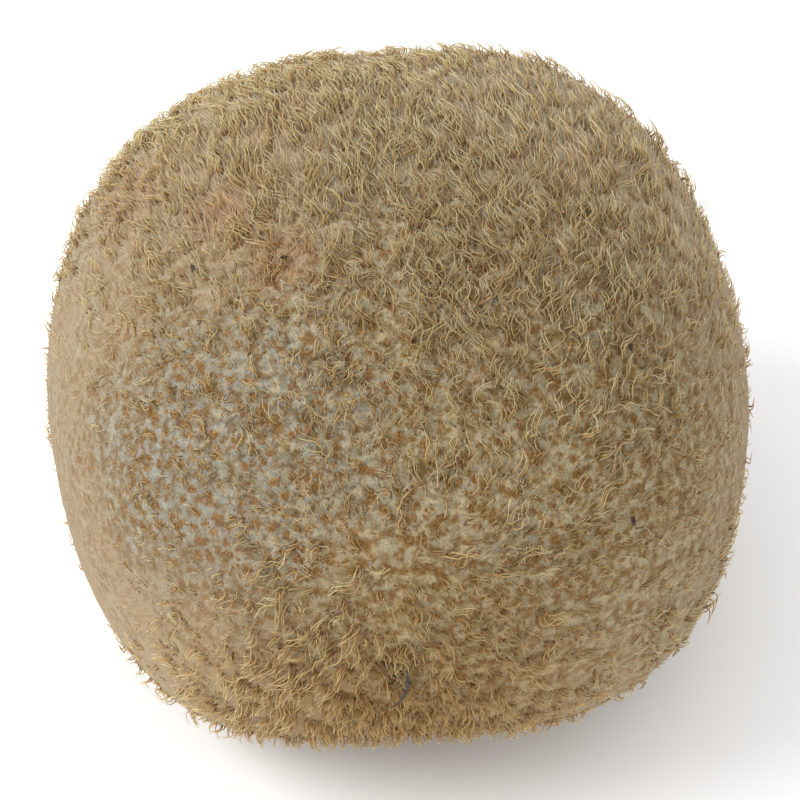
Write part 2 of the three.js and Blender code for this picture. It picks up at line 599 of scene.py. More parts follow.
def tube_faces(stations, sides):
    """The faces of a tube that is closed by a point at each end: four corners between each
    two rings, and three at the ends. The points are the first end, the rings and the last
    end. Gives every face's corners in a row, and each face's number of corners."""
    side = np.arange(sides)
    after = (side + 1) % sides
    rings = 1 + sides * np.arange(stations)[:, None]
    low, high = rings[:-1], rings[1:]
    quads = np.stack([low + side, low + after, high + after, high + side], -1)
    first = np.stack([np.zeros(sides, int), 1 + after, 1 + side], -1)
    last_ring = 1 + sides * (stations - 1)
    last = np.stack([last_ring + side, last_ring + after, np.full(sides, last_ring + sides)], -1)
    corners = np.concatenate([first.ravel(), quads.ravel(), last.ravel()])
    counts = np.concatenate([np.full(sides, 3), np.full(quads.size // 4, 4), np.full(sides, 3)])
    return corners, counts


def many_faces(count, points_each, faces):
    """The same faces for each of count like shapes, whose points follow each other."""
    corners, counts = faces
    start = np.arange(count)[:, None] * points_each
    return (start + corners).ravel(), np.tile(counts, count)


def hair_faces(hairs, stations):
    """The faces of many hairs: a flat root, four corners between each two rings and three at
    the tip. Each hair's points are its rings and then its tip."""
    side = np.arange(HAIR_SIDES)
    after = (side + 1) % HAIR_SIDES
    low = HAIR_SIDES * np.arange(stations - 2)[:, None]
    high = low + HAIR_SIDES
    quads = np.stack([low + side, low + after, high + after, high + side], -1).ravel()
    ring = HAIR_SIDES * (stations - 2)
    tip = np.full(HAIR_SIDES, ring + HAIR_SIDES)
    tips = np.stack([ring + side, ring + after, tip], -1).ravel()
    corners = np.concatenate([side[::-1], quads, tips])
    counts = np.concatenate([[HAIR_SIDES], np.full(quads.size // 4, 4), np.full(HAIR_SIDES, 3)])
    return many_faces(hairs, ring + HAIR_SIDES + 1, (corners, counts))


def make_piece(name, points, faces, material, slot, **attributes):
    """A smooth mesh of points in millimetres, which rides on the fruit and stands for its
    node, with a value at each point for each attribute."""
    corners, counts = faces
    mesh = bpy.data.meshes.new(name)
    mesh.vertices.add(len(points))
    mesh.vertices.foreach_set("co", ((points + MIDDLE) * MM).astype(np.float32).ravel())
    mesh.loops.add(len(corners))
    mesh.loops.foreach_set("vertex_index", corners.astype(np.int32))
    mesh.polygons.add(len(counts))
    starts = np.concatenate([[0], np.cumsum(counts)[:-1]])
    mesh.polygons.foreach_set("loop_start", starts.astype(np.int32))
    mesh.update(calc_edges=True)
    mesh.validate()
    mesh.shade_smooth()
    for key, values in attributes.items():
        is_vector = values.ndim == 2
        attribute = mesh.attributes.new(key, "FLOAT_VECTOR" if is_vector else "FLOAT", "POINT")
        values = values.astype(np.float32).ravel()
        attribute.data.foreach_set("vector" if is_vector else "value", values)
    mesh.materials.append(material)
    piece = bpy.data.objects.new(name, mesh)
    bpy.context.scene.collection.objects.link(piece)
    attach(piece, BODY)
    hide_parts(NODE)
    return piece


def ways_over_ball(count, rng, jitter=0.6):
    """Ways spread evenly all round: a spiral from pole to pole that turns by the golden
    angle at each step, with each way moved by a random share of their spacing."""
    number = np.arange(count) + 0.5
    height = 1 - 2 * number / count
    ring = np.sqrt(1 - height**2)
    turn = np.pi * (1 + np.sqrt(5)) * number
    ways = np.stack([ring * np.cos(turn), height, ring * np.sin(turn)], -1)
    spacing = np.sqrt(4 * np.pi / count)
    return unit(ways + rng.normal(size=ways.shape) * spacing * jitter / 2)


def ways_in_rings(polar, sides):
    """Ways in rings round Y, one at each angle from -Y, between the two ends: the angle's
    sine times a turn's cosine and sine are x and z, and minus its cosine is y."""
    polar = polar[:, None]
    turn = np.linspace(0, 2 * np.pi, sides, endpoint=False)
    across = np.sin(polar)
    y = np.broadcast_to(-np.cos(polar), (len(polar), sides))
    rings = np.stack([across * np.cos(turn), y, across * np.sin(turn)], -1)
    end = np.array([[0.0, 1.0, 0.0]])
    return np.concatenate([-end, rings.reshape(-1, 3), end])


def share_at(ways, patches, ragged=0.0):
    """The share that the patches have along each way, from 0 to 1: the sum of each patch's
    share times its nearness, with noise at the edges, which their number seeds."""
    total = sum(share * nearness(ways, towards, spread) for towards, spread, share in patches)
    noise = ripples(skin_points(ways), RAGGED_WAVELENGTH, np.random.default_rng(len(patches)))
    return np.clip(total + ragged * noise, 0, 1)


def rooted_ways(kind, patches, rng):
    """Ways to the roots of a kind's locks. Of evenly spread ones, those are kept that win a
    draw, which favours each as much as the skin there is large and not bare and the kind is
    dense on its patches."""
    count = kind["locks"]
    pool = ways_over_ball(count * ROOT_CHOICES, rng)
    points = skin_points(pool)
    facing = dot(skin_normals(pool), pool)[:, 0]
    density = kind["elsewhere"] + share_at(pool, patches, kind["ragged"])
    weight = (points**2).sum(-1) / facing * density * (1 - share_at(pool, BARE))
    clumped = 1 + CLUMP_DENSITY * ripples(points, CLUMP_WAVELENGTH, rng)
    weight *= np.maximum(clumped, LEAST_CLUMPED)
    bare = np.where(pool[:, 1] < 0, BARE_BLOSSOM_RADIUS, BARE_STEM_RADIUS)
    clear = np.hypot(points[:, 0], points[:, 2]) > bare
    clear &= points[:, 2] > LOWEST_ROOT - FLOOR_DEPTH
    weight = np.maximum(np.where(clear, weight, 0), LEAST_WEIGHT)
    draw = rng.random(len(pool)) ** (1 / weight)
    return pool[np.sort(np.argsort(draw)[-count:])]


def combed(ways):
    """The way the hairs lie over at each way: the common way along the skin, turned aside
    by the comb's twist. A trace of the normal stays in it, so that it has a length all over."""
    normal = skin_normals(ways)
    along = unit(COMBED_TOWARDS - COMBED_FLAT * normal * dot(normal, COMBED_TOWARDS))
    aside = np.cross(normal, along)
    twist = np.radians(COMB_TWIST) * (0.5 + 0.5 * normal[:, 2:])
    return np.cos(twist) * along + np.sin(twist) * aside


def lock_paths(ways, length, kind, rng):
    """The line of points of each hair, lock by lock, and a way across each. A lock steps on
    from its root by equal lengths. Its angle over the skin goes from its lift to its lift
    less its bend. It leans where the skin is combed, turned aside by sway and as a stray, and
    swings from side to side by its curl, with its number of waves, and nods. Its height nears
    the mat's height and never passes it. Each member keeps beside its lock's line, closer by
    gather towards the tip, and wanders a little."""
    count = len(ways)
    column = (count, 1)
    normal = skin_normals(ways)
    lean = combed(ways)
    side = np.cross(normal, lean)
    share = np.linspace(0, 1, kind["stations"])
    along = share[:-1] * kind["stations"] / (kind["stations"] - 1)
    sway = kind["sway"] * ripples(skin_points(ways), SWAY_WIDTH, rng)[:, None]
    untidy = 1 - TIDINESS * share_at(ways, FURRY + UPRIGHT)[:, None]
    curl = rng.uniform(*kind["curl"], column) * untidy
    waves = rng.uniform(*kind["waves"], column)
    turn = sway + rng.normal(0, kind["strays"], column) * untidy
    turn = turn + curl * np.sin(2 * np.pi * (waves * along + rng.random(column)))
    nod = NOD * curl * np.sin(2 * np.pi * (waves * along + rng.random(column)))
    upright = share_at(ways, UPRIGHT)[:, None]
    lift = rng.normal(*kind["lift"], column) + UPRIGHT_LIFT * upright
    rise = lift - rng.normal(*kind["bend"], column) * along + nod
    steps = (
        np.cos(rise)[..., None]
        * (np.cos(turn)[..., None] * lean[:, None] + np.sin(turn)[..., None] * side[:, None])
        + np.sin(rise)[..., None] * normal[:, None]
    )
    steps *= (length / (kind["stations"] - 1))[:, None, None]
    reach = np.concatenate([np.zeros((count, 1, 3)), np.cumsum(steps, 1)], 1)
    height = dot(reach, normal[:, None])
    mat = (kind["mat_height"] * (1 + UPRIGHT_MAT * upright))[:, None]
    reach += (mat * (1 - np.exp(-np.maximum(height, 0) / mat)) - height) * normal[:, None]

    each = (count, kind["members"], 2, 1)
    beside = rng.normal(0, kind["apart"], each) * (1 - kind["gather"] * share)
    phase = rng.uniform(0, 2 * np.pi, each)
    beside = beside + kind["wander"] * share * np.sin(WANDER_TURN * share + phase)
    size = rng.uniform(*MEMBER_SIZES, (count, kind["members"], 1, 1))
    roots = skin_points(ways) - normal * ROOT_DEPTH
    path = roots[:, None, None] + size * reach[:, None]
    path = path + beside[:, :, 0, :, None] * lean[:, None, None]
    path = path + beside[:, :, 1, :, None] * side[:, None, None]
    return path.reshape(-1, kind["stations"], 3), np.repeat(side, kind["members"], 0)


def rings_round(line, across, over, radii, sides):
    """Rings of points round each point of each line: across times the cosine and over times
    the sine of even turns, times the radius."""
    turns = 2 * np.pi * np.arange(sides) / sides
    ring = np.cos(turns)[:, None] * across[:, :, None] + np.sin(turns)[:, None] * over[:, :, None]
    return line[:, :, None] + ring * radii[..., None, None]


def hair_points(path, side, radius, taper):
    """The points of many hairs: at each step but the last, a ring round its line, and then
    the tip. The radius shrinks by the taper along the hair."""
    step = unit(np.gradient(path, axis=1))[:, :-1]
    across = unit(np.cross(step, side[:, None]))
    over = np.cross(step, across)
    share = np.linspace(0, 1, path.shape[1])[:-1]
    radii = radius[:, None] * (1 - taper * share)
    lowest = -FLOOR_DEPTH + radii + FLOOR_GAP
    line = path[:, :-1].copy()
    line[..., 2] = np.maximum(line[..., 2], lowest)
    rings = rings_round(line, across, over, radii, HAIR_SIDES)
    tip = path[:, -1].copy()
    tip[:, 2] = np.maximum(tip[:, 2], -FLOOR_DEPTH + FLOOR_GAP)
    count = len(path)
    return np.concatenate([rings.reshape(count, -1, 3), tip[:, None]], 1)


def make_hairs(name, kind, ways, length, material, rng):
    """Hairs of one kind, in locks from their roots, as a few pieces of equal size. Each point
    has how far along its hair it is, its hair's tone, which is painted lighter where light
    falls on the fruit, and how pink and warm its hair is."""
    members = kind["members"]
    path, side = lock_paths(ways, length, kind, rng)
    count = len(path)
    radius = kind["radius"] * rng.uniform(*MEMBER_THICKNESSES, count)
    points = hair_points(path, side, radius, kind["taper"])
    share = np.linspace(0, 1, kind["stations"])
    along = np.append(np.repeat(share[:-1], HAIR_SIDES), 1)
    lighter = CLUMP_TONE * ripples(skin_points(ways), CLUMP_WAVELENGTH, rng)
    # Painted light: hairs are painted lighter where the light falls
    lighter += PAINTED_LIGHT_TONE * share_at(ways, PAINTED_LIGHT)
    own_tone = OWN_TONE * rng.random(count)
    tone = own_tone + np.repeat((1 - OWN_TONE) * rng.random(len(ways)) + lighter, members)
    pink = np.repeat(share_at(ways, PINK), members)
    warm = np.repeat(share_at(ways, WARM), members)
    for number, chosen in enumerate(np.array_split(np.arange(count), kind["pieces"])):
        each = points.shape[1]
        make_piece(
            f"{name}_{number + 1}",
            points[chosen].reshape(-1, 3),
            hair_faces(len(chosen), kind["stations"]),
            material,
            "hair",
            along=np.tile(along, len(chosen)),
            tone=np.repeat(tone[chosen], each),
            pink=np.repeat(pink[chosen], each),
            warm=np.repeat(warm[chosen], each),
        )


class Nodes:
    """A material's node tree, with short ways to add nodes and join them."""

    def __init__(self, name):
        self.material = bpy.data.materials.new(name)
        self.material.use_nodes = True
        self.tree = self.material.node_tree
        self.shader = self.tree.nodes["Principled BSDF"]

    def add(self, kind, links=(), **values):
        """A node of a kind, with links into its named sockets and plain values on its own
        settings or sockets."""
        node = self.tree.nodes.new(kind)
        for key, value in values.items():
            if hasattr(node, key):
                setattr(node, key, value)
            else:
                node.inputs[key.replace("_", " ")].default_value = value
        for socket, source in dict(links).items():
            self.tree.links.new(source, node.inputs[socket])
        return node

    def set(self, **values):
        """Plain values on the shader's own sockets."""
        for key, value in values.items():
            self.shader.inputs[key.replace("_", " ")].default_value = value

    def join(self, source, socket):
        """Links a node's output into one of the shader's sockets."""
        self.tree.links.new(source, self.shader.inputs[socket])

    def ramp(self, source, stops):
        """A colour ramp of (place, colour) stops over a value."""
        node = self.add("ShaderNodeValToRGB", {"Fac": source})
        elements = node.color_ramp.elements
        while len(elements) < len(stops):
            elements.new(0.5)
        for element, (place, colour) in zip(elements, stops):
            element.position = place
            element.color = (*colour, 1)
        return node.outputs["Color"]

    def mix(self, share, first, second, blend="MIX"):
        """Two colours, mixed or blended by a share."""
        node = self.add("ShaderNodeMix", data_type="RGBA", blend_type=blend)
        for index, source in ((0, share), (6, first), (7, second)):
            if isinstance(source, bpy.types.NodeSocket):
                self.tree.links.new(source, node.inputs[index])
            else:
                node.inputs[index].default_value = source
        return node.outputs[2]

    def tinted(self, colour):
        """The colour, tinted where the piece is pink and where it is warm."""
        for name, tint in (("pink", PINK_TINT), ("warm", WARM_TINT)):
            share = self.attribute(name)
            colour = self.mix(share, colour, self.mix(1.0, colour, tint, "MULTIPLY"))
        return colour

    def attribute(self, name, output="Fac"):
        """The value of the piece's own attribute."""
        return self.add("ShaderNodeAttribute", attribute_name=name).outputs[output]

    def sum(self, first, second, factor=1.0):
        """The first number or vector, times the factor, plus the second."""
        is_vector = second.type == "VECTOR"
        kind = "ShaderNodeVectorMath" if is_vector else "ShaderNodeMath"
        node = self.add(kind, {0: first, 2: second}, operation="MULTIPLY_ADD")
        node.inputs[1].default_value = (factor,) * 3 if is_vector else factor
        return node.outputs[0]

    def strands(self, place, scale, width):
        """Thin curly lines: 1 where a smooth noise is at its middle value, and 0 where it is
        further from it than the width."""
        noise = self.add(
            "ShaderNodeTexNoise",
            {"Vector": place},
            noise_dimensions="4D",
            W=scale,
            Scale=scale,
            Detail=1.0,
            Distortion=0.4,
        )
        black, white = (0, 0, 0), (1, 1, 1)
        low, high = NOISE_MIDDLE - width, NOISE_MIDDLE + width
        stops = [(low, black), (NOISE_MIDDLE, white), (high, black)]
        return self.ramp(noise.outputs["Fac"], stops)

    def streaks(self, place, flow, scale, reach, steps=8):
        """Fine streaks along the flow: the mean of one fine noise at places spread evenly
        over the reach, half of it ahead and half behind. The flow is bent by coarse noise."""
        bend = self.add("ShaderNodeTexNoise", {"Vector": place}, Scale=0.45, Detail=2.0)
        aside = self.add("ShaderNodeVectorMath", {0: bend.outputs["Color"]}, operation="SUBTRACT")
        aside.inputs[1].default_value = (NOISE_MIDDLE,) * 3
        flow = self.sum(aside.outputs[0], flow, FLOW_BENDING)
        total = None
        for shift in np.linspace(-reach / 2, reach / 2, steps):
            moved = self.sum(flow, place, shift)
            noise = self.add("ShaderNodeTexNoise", {"Vector": moved}, Scale=scale, Detail=1.0)
            value = noise.outputs["Fac"]
            total = value if total is None else self.sum(value, total)
        mean = self.add("ShaderNodeMath", {0: total}, operation="DIVIDE")
        mean.inputs[1].default_value = steps
        return mean.outputs[0]

    def place(self):
        """Object coordinates in millimetres."""
        coordinates = self.add("ShaderNodeTexCoord").outputs["Object"]
        mapping = self.add("ShaderNodeMapping", {"Vector": coordinates})
        mapping.inputs["Scale"].default_value = (1 / MM,) * 3
        return mapping.outputs["Vector"]


def skin_material():
    """Dull skin under fine fur: streaks of tan felt, mottled from brown to grey-green in
    places, where thin strands lie on it, and to grey where it is pale, which is partly the
    skin's own grey and partly painted sheen. It has brown blotches where hairs have stood,
    one of them partly painted shade in a gap at the blossom end, painted light as a lighter
    tan where the light falls, a fine grain and a faint sheen."""
    nodes = Nodes("kiwi_skin")
    place = nodes.place()
    fine = nodes.add("ShaderNodeTexNoise", {"Vector": place}, Scale=1.4, Detail=5.0)
    grain = nodes.add("ShaderNodeTexNoise", {"Vector": place}, Scale=6.0, Detail=3.0)
    mottled = fine.outputs["Fac"]
    grained = grain.outputs["Fac"]
    fur = nodes.streaks(place, nodes.attribute("flow", "Vector"), scale=4.5, reach=1.4)
    felt = nodes.ramp(
        nodes.mix(FELT_MOTTLING, fur, mottled),
        [(0.45, (0.225, 0.155, 0.08)), (0.5, (0.262, 0.194, 0.112)), (0.56, (0.3, 0.232, 0.142))],
    )
    furred = nodes.mix(OLIVE_MOTTLING, fur, mottled)
    olive = nodes.ramp(
        furred,
        [
            (0.4, (0.17, 0.084, 0.018)),
            (0.46, (0.22, 0.15, 0.062)),
            (0.51, (0.265, 0.23, 0.145)),
            (0.6, (0.305, 0.285, 0.195)),
        ],
    )
    # Pale grey: partly the skin's own grey and partly painted sheen
    pale = nodes.ramp(
        nodes.mix(PALE_AND_SHEEN_GRAIN, mottled, grained),
        [
            (0.37, (0.125, 0.075, 0.03)),
            (0.45, (0.175, 0.14, 0.09)),
            (0.53, (0.205, 0.2, 0.165)),
            (0.64, (0.24, 0.25, 0.23)),
        ],
    )
    skin = nodes.mix(nodes.attribute("olive"), felt, olive)
    skin = nodes.mix(nodes.attribute("pale"), skin, pale)

    warp = nodes.add("ShaderNodeTexNoise", {"Vector": place}, Scale=2.6, Detail=4.0)
    bent = nodes.sum(warp.outputs["Color"], place, BLOTCH_BENDING)
    spots = nodes.add("ShaderNodeTexVoronoi", {"Vector": bent}, Scale=1.25, Randomness=1.0)
    spotted = nodes.ramp(
        spots.outputs["Distance"],
        [(0.18, (0.95, 0.95, 0.95)), (0.36, (0.7, 0.7, 0.7)), (0.5, (0, 0, 0))],
    )
    blotched = nodes.mix(1.0, spotted, nodes.attribute("blotched"), "MULTIPLY")
    brown = nodes.ramp(grained, [(0.38, (0.115, 0.047, 0.007)), (0.62, (0.225, 0.112, 0.022))])
    skin = nodes.mix(blotched, skin, brown)

    first, *others = THIN_STRANDS
    lines = nodes.strands(place, *first)
    for scale, width in others:
        lines = nodes.mix(1.0, lines, nodes.strands(place, scale, width), "LIGHTEN")
    fading = nodes.ramp(furred, [(0.42, (0.1, 0.1, 0.1)), (0.58, (0.75, 0.75, 0.75))])
    lines = nodes.mix(1.0, lines, fading, "MULTIPLY")
    lines = nodes.mix(1.0, lines, nodes.attribute("olive"), "MULTIPLY")
    tan = nodes.ramp(mottled, [(0.4, (0.3, 0.19, 0.075)), (0.6, (0.5, 0.385, 0.21))])
    skin = nodes.mix(lines, skin, tan)
    # Painted light: the skin nears a lighter tan where the light falls
    bleached = nodes.mix(PAINTED_LIGHT_SKIN_SHARE, skin, PAINTED_LIGHT_SKIN)
    skin = nodes.mix(nodes.attribute("bleached"), skin, bleached)

    speckled = nodes.ramp(grained, [(0.35, (0.82, 0.8, 0.77)), (0.6, (1, 1, 1))])
    skin = nodes.mix(1.0, skin, speckled, "MULTIPLY")
    nodes.join(nodes.tinted(skin), "Base Color")
    nodes.set(Roughness=0.85, Specular_IOR_Level=0.25)
    nodes.set(Sheen_Weight=0.12, Sheen_Roughness=0.5, Sheen_Tint=(1, 0.85, 0.65, 1))
    height = nodes.sum(fur, nodes.sum(grained, mottled, GRAIN_RELIEF), FUR_RELIEF)
    height = nodes.sum(lines, height, STRAND_RELIEF)
    depth = SKIN_RELIEF * MM
    rough = nodes.add("ShaderNodeBump", {"Height": height}, Strength=0.45, Distance=depth)
    nodes.join(rough.outputs["Normal"], "Normal")
    return nodes.material


def hair_material(name, root, body, tip, dark):
    """Dry hair that light shines into, coloured from root to tip, where the dark root is partly
    its own brown and partly painted shade low in the fur, darkened by its tone, and tinted
    where it is pink or warm."""
    nodes = Nodes(name)
    # The dark root is partly the hair's own brown and partly painted shade where it lies low in the
    # fur
    colour = nodes.ramp(nodes.attribute("along"), [(0.0, root), (HAIR_BODY_PLACE, body), (1.0, tip)])
    tone = nodes.ramp(nodes.attribute("tone"), [(0.0, dark), (1.0, (1, 1, 1))])
    nodes.join(nodes.tinted(nodes.mix(1.0, colour, tone, "MULTIPLY")), "Base Color")
    nodes.set(Roughness=0.6, Specular_IOR_Level=0.3)
    nodes.set(Subsurface_Weight=HAIR_SUBSURFACE, Subsurface_Radius=(1.0, 0.75, 0.5))
    nodes.set(Subsurface_Scale=HAIR_SUBSURFACE_DEPTH * MM)
    return nodes.material


def woody_material(name, dark, middle, light):
    """Dry dead wood, streaked from dark to light."""
    nodes = Nodes(name)
    place = nodes.place()
    grain = nodes.add("ShaderNodeTexNoise", {"Vector": place}, Scale=4.5, Detail=6.0)
    streaks = grain.outputs["Fac"]
    nodes.join(nodes.ramp(streaks, [(0.3, dark), (0.52, middle), (0.72, light)]), "Base Color")
    nodes.set(Roughness=0.8, Specular_IOR_Level=0.3)
    depth = WOOD_RELIEF * MM
    rough = nodes.add("ShaderNodeBump", {"Height": streaks}, Strength=0.8, Distance=depth)
    nodes.join(rough.outputs["Normal"], "Normal")
    return nodes.material


def make_skin(material):
    """The felted skin: rings from the blossom end to the stem end, crowded near both, with
    the felt's ripples as relief, and pressed flat where the fruit rests."""
    rng = np.random.default_rng(SKIN_SEED)
    even = np.linspace(0, np.pi, SKIN_RINGS + 2)[1:-1]
    ways = ways_in_rings(even - RING_CROWDING / 2 * np.sin(2 * even), SKIN_SIDES)
    smooth = skin_points(ways)
    felt = FELT_ROUGHNESS * ripples(smooth, FELT_WAVELENGTH, rng)
    points = smooth + skin_normals(ways) * felt[:, None]
    points[:, 2] = np.maximum(points[:, 2], -FLOOR_DEPTH)
    make_piece(
        "skin",
        points,
        tube_faces(SKIN_RINGS, SKIN_SIDES),
        material,
        "skin",
        flow=combed(ways),
        olive=share_at(ways, OLIVE, COLOUR_RAGGED),
        # Pale grey, partly the skin's own and partly painted sheen
        pale=share_at(ways, PALE_AND_SHEEN, COLOUR_RAGGED),
        blotched=share_at(ways, BLOTCHED, BLOTCH_RAGGED),
        # Painted light: where the skin is painted lighter
        bleached=share_at(ways, PAINTED_LIGHT),
        pink=share_at(ways, PINK),
        warm=share_at(ways, WARM),
    )


def make_curls(material):
    """The curls, which are dense where the skin is matted and shorter where it is bare."""
    rng = np.random.default_rng(CURLS["seed"])
    ways = rooted_ways(CURLS, MATTED, rng)
    length = rng.uniform(*CURLS["length"], len(ways))
    length *= 1 - CURLS_SHORTER * share_at(ways, BARE)
    make_hairs("curls", CURLS, ways, length, material, rng)


def make_wisps(material):
    """The wisps, which are dense where the skin is wispy."""
    rng = np.random.default_rng(WISPS["seed"])
    ways = rooted_ways(WISPS, WISPY, rng)
    length = rng.uniform(*WISPS["length"], len(ways))
    make_hairs("wisps", WISPS, ways, length, material, rng)


def make_down(material):
    """The down, which is long and dense where the skin is furry."""
    rng = np.random.default_rng(DOWN["seed"])
    ways = rooted_ways(DOWN, FURRY, rng)
    length = rng.uniform(*DOWN["length"], len(ways))
    length *= 1 - DOWN_SHORTER * (1 - share_at(ways, FURRY))
    make_hairs("down", DOWN, ways, length, material, rng)


def make_tufts(material):
    """The tufts, which are dense where the skin is blotched."""
    rng = np.random.default_rng(TUFTS["seed"])
    ways = rooted_ways(TUFTS, BLOTCHED, rng)
    length = rng.uniform(*TUFTS["length"], len(ways))
    make_hairs("tufts", TUFTS, ways, length, material, rng)


def tube_points(path, radii, sides):
    """The points of tubes along lines of points: each line's first point, a ring of points
    round each point between, at its radius, and the last point."""
    step = unit(np.gradient(path, axis=1))[:, 1:-1]
    across = unit(np.cross(step, UP))
    over = np.cross(step, across)
    rings = rings_round(path[:, 1:-1], across, over, radii, sides)
    count = len(path)
    return np.concatenate([path[:, :1], rings.reshape(count, -1, 3), path[:, -1:]], 1)


def style_wave(wave, along, turn):
    """A wave along the styles: its height times the sine of its turns."""
    height, turns_along, turns_round = wave
    return height * np.sin(turns_along * along + turns_round * turn)


def make_styles(material):
    """The dried styles: tubes from the pit, which lean outwards from the long axis, more so
    along their length, and are wrinkled and thinner to the tip."""
    rng = np.random.default_rng(STYLE_SEED)
    rows = []
    for ring in STYLE_RINGS:
        for number in range(ring["count"]):
            turn = 2 * np.pi * (number + STYLE_SCATTER * rng.random()) / ring["count"]
            lean = ring["lean"] * rng.uniform(*STYLE_VARIETY)
            length = ring["length"] * rng.uniform(*STYLE_VARIETY)
            rows.append((turn, ring["radius"], lean, length, STYLE_DROOP))
    long = LONG_STYLE
    turn = np.radians(long["turn"])
    rows.append((turn, long["radius"], long["lean"], long["length"], long["droop"]))
    turn, radius, lean, length, droop = np.array(rows).T[..., None]
    along = np.linspace(0, 1, STYLE_STATIONS)
    angle = np.radians(lean + droop * along) + style_wave(STYLE_BEND, along, turn)
    out = np.sin(angle)
    aside = style_wave(STYLE_SIDE_BEND, along, turn)
    steps = np.stack(
        [
            out * np.cos(turn) - aside * np.sin(turn),
            -np.cos(angle),
            out * np.sin(turn) + aside * np.cos(turn),
        ],
        -1,
    )
    steps *= (length + STYLE_SUNK)[..., None] / (STYLE_STATIONS - 1)
    height = -HALF_LENGTH - FELT_MEAN - blossom_end_rise(radius) + STYLE_SUNK
    root = np.stack([radius * np.cos(turn), height, radius * np.sin(turn)], -1)
    path = root + np.cumsum(steps, 1) - steps[:, :1]
    wrinkles = 1 + style_wave(STYLE_WRINKLES, along, turn)
    radii = (STYLE_RADIUS * (1 - STYLE_TAPER * along) * wrinkles)[:, 1:-1]
    points = tube_points(path, radii, STYLE_SIDES)
    faces = many_faces(len(path), points.shape[1], tube_faces(STYLE_STATIONS - 2, STYLE_SIDES))
    make_piece("dried_styles", points.reshape(-1, 3), faces, material, "woody")


def make_scar(material):
    """The woody scar: a round plate over the stem end's own form, with cracks from its cup to
    its torn edge. Its rings go out over the top and back below it."""
    rng = np.random.default_rng(SCAR_SEED)
    half = SCAR_STATIONS // 2
    reach = np.linspace(0, 1, half + 1)[1:]
    share = np.concatenate([reach, reach[::-1]])[:, None]
    below = np.repeat([0.0, 1.0], half)[:, None]
    turn = 2 * np.pi * np.arange(SCAR_SIDES) / SCAR_SIDES
    edge = np.stack([np.cos(turn), np.sin(turn), 0 * turn], -1)
    torn = 1 + TORN_EDGE * ripples(edge, TORN_WAVELENGTH, rng)
    distance = (SCAR_RADIUS + SCAR_LAP) * share * torn
    bent = SCAR_CRACKS / 2 * turn + CRACK_BEND * np.sin(CRACK_BENDS_ROUND * turn)
    cracks = np.abs(np.sin(bent)) ** CRACK_POWER - 1
    spread = bump(distance - SCAR_RADIUS * CRACK_MIDDLE, CRACK_REACH)
    x = distance * np.cos(turn)
    z = distance * np.sin(turn)
    proud = SCAR_PROUD * (1 - share**SCAR_FALL)
    top = HALF_LENGTH + FELT_MEAN + stem_end_rise(distance) + proud
    flat = np.stack([x, 0 * x, z], -1)
    top = top + CRACK_DEPTH * cracks * spread + ROUGH_TOP * ripples(flat, ROUGH_WAVELENGTH, rng)
    y = np.where(below > 0, HALF_LENGTH - SCAR_SUNK, top)
    rings = np.stack([x, y, z], -1).reshape(-1, 3)
    first = [[0, HALF_LENGTH + FELT_MEAN + stem_end_rise(0.0) + SCAR_PROUD, 0]]
    last = [[0, HALF_LENGTH - SCAR_SUNK, 0]]
    points = np.concatenate([first, rings, last])
    faces = tube_faces(SCAR_STATIONS, SCAR_SIDES)
    make_piece("stem_scar", points, faces, material, "woody")


def make_crumbs(material):
    """The crumbs: small balls, longer one way, with a lumpy surface, half sunk in the hairs."""
    rng = np.random.default_rng(CRUMBS_SEED)
    polar = np.linspace(0, np.pi, CRUMB_STATIONS + 2)[1:-1]
    ball = ways_in_rings(polar, CRUMB_SIDES) * np.array([1, -1, 1])
    shapes = []
    for way, size in CRUMBS:
        ways = unit(np.array([way]))
        normal = skin_normals(ways)[0]
        lean = unit(np.cross(normal, rng.normal(size=3)))
        side = np.cross(normal, lean)
        lumps = 1 + CRUMB_LUMPS * ripples(ball, CRUMB_LUMP_WAVELENGTH, rng)[:, None]
        flat = ball * lumps * np.array(CRUMB_SHAPE) * size
        placed = flat @ np.stack([side, lean, normal])
        shapes.append(placed + skin_points(ways)[0] + normal * CRUMB_RISE)
    points = np.concatenate(shapes)
    faces = many_faces(len(CRUMBS), len(ball), tube_faces(CRUMB_STATIONS, CRUMB_SIDES))
    make_piece("crumbs", points, faces, material, "woody")


def make_floor():
    """A plain pale floor below the fruit."""
    mesh = bpy.data.meshes.new("floor")
    signs = [(-1, -1), (1, -1), (1, 1), (-1, 1)]
    corners = [(x * FLOOR_HALF, y * FLOOR_HALF, 0) for x, y in signs]
    mesh.from_pydata(corners, [], [(0, 1, 2, 3)])
    nodes = Nodes("pale_floor")
    nodes.set(Base_Color=(0.97, 0.97, 0.97, 1), Roughness=0.9, Specular_IOR_Level=0.1)
    mesh.materials.append(nodes.material)
    floor = bpy.data.objects.new("floor", mesh)
    bpy.context.scene.collection.objects.link(floor)


def make_lights():
    """Even light from all round, and a large soft light low on the left."""
    world = bpy.data.worlds.new("soft_light")
    world.use_nodes = True
    background = world.node_tree.nodes["Background"]
    background.inputs["Color"].default_value = (1, 1, 1, 1)
    background.inputs["Strength"].default_value = WORLD_STRENGTH
    bpy.context.scene.world = world
    light = bpy.data.lights.new("key", "AREA")
    light.shape = "DISK"
    light.size = KEY_SIZE
    light.energy = KEY_POWER
    key = bpy.data.objects.new("key", light)
    key.location = KEY_PLACE
    key.rotation_euler = (-key.location).to_track_quat("-Z", "Y").to_euler()
    bpy.context.scene.collection.objects.link(key)
    bpy.context.scene.view_settings.view_transform = "Standard"


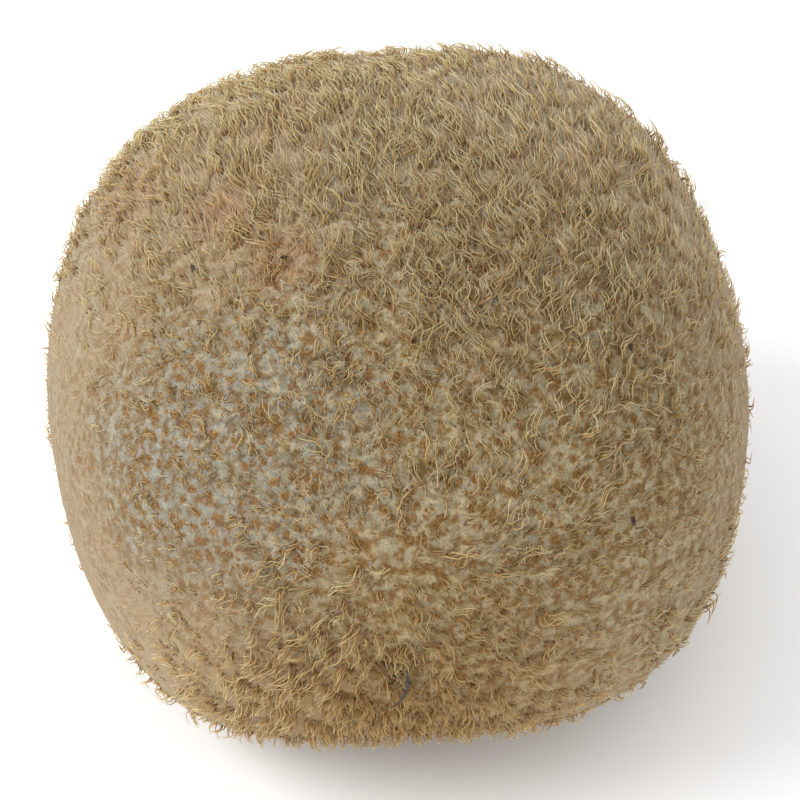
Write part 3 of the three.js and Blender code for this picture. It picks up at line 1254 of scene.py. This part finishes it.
def make_camera():
    """The photo's camera: it looks down on the blossom end, and its lens gives the photo's
    scale at the fruit's middle."""
    elevation = np.radians(CAMERA_ELEVATION)
    back = np.array([0, -np.cos(elevation), np.sin(elevation)])
    upward = np.array([0, np.sin(elevation), np.cos(elevation)])
    across = np.array([1.0, 0, 0])
    right = (PHOTO_SIDE / 2 - MIDDLE_PIXEL[0]) / PIXELS_PER_MM
    down = (PHOTO_SIDE / 2 - MIDDLE_PIXEL[1]) / PIXELS_PER_MM
    aim = MIDDLE + across * right - upward * down
    camera_data = bpy.data.cameras.new("camera")
    camera_data.sensor_width = SENSOR_WIDTH
    camera_data.lens = SENSOR_WIDTH * PIXELS_PER_MM * CAMERA_DISTANCE / PHOTO_SIDE
    camera_data.clip_start = CAMERA_NEAR
    camera = bpy.data.objects.new("camera", camera_data)
    camera.location = Vector((aim + back * CAMERA_DISTANCE) * MM)
    camera.rotation_euler = Vector(-back).to_track_quat("-Z", "Y").to_euler()
    bpy.context.scene.collection.objects.link(camera)
    bpy.context.scene.camera = camera


# Where the fruit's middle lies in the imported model's frame. The stem end is the far end of
# the node's box, and the box's middle across is the form's.
FLOOR_DEPTH = HALF_THICKNESS - FLAT_CUT
node_low, node_high = (np.array(corner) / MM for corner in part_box(NODE))
form = skin_points(ways_over_ball(FORM_WAYS, np.random.default_rng(FORM_SEED), jitter=0))
MIDDLE = np.array([
    (node_low[0] + node_high[0] - form[:, 0].min() - form[:, 0].max()) / 2,
    node_high[1] - form[:, 1].max(),
    node_low[2] + FLOOR_DEPTH,
])

make_skin(skin_material())
# Each kind's dark root colour is partly painted shade, where the hairs lie low among the others
make_curls(
    hair_material(
        "kiwi_curls",
        root=(0.2, 0.094, 0.022),
        body=(0.43, 0.3, 0.128),
        tip=(0.68, 0.55, 0.31),
        dark=(0.5, 0.42, 0.32),
    )
)
make_wisps(
    hair_material(
        "kiwi_wisps",
        root=(0.2, 0.094, 0.022),
        body=(0.4, 0.27, 0.11),
        tip=(0.56, 0.44, 0.24),
        dark=(0.55, 0.47, 0.36),
    )
)
make_down(
    hair_material(
        "kiwi_down",
        root=(0.33, 0.23, 0.115),
        body=(0.48, 0.37, 0.21),
        tip=(0.62, 0.515, 0.345),
        dark=(0.78, 0.74, 0.7),
    )
)
make_tufts(
    hair_material(
        "kiwi_tufts",
        root=(0.1, 0.045, 0.012),
        body=(0.18, 0.09, 0.026),
        tip=(0.34, 0.2, 0.07),
        dark=(0.6, 0.55, 0.5),
    )
)
make_styles(
    woody_material("dried_style", (0.03, 0.025, 0.022), (0.065, 0.055, 0.048), (0.16, 0.14, 0.12))
)
scar = woody_material("stem_scar", (0.035, 0.022, 0.014), (0.12, 0.075, 0.045), (0.24, 0.165, 0.1))
make_scar(scar)
make_crumbs(woody_material("crumb", (0.025, 0.012, 0.006), (0.06, 0.035, 0.02), (0.11, 0.07, 0.045)))
make_floor()
make_lights()
make_camera()
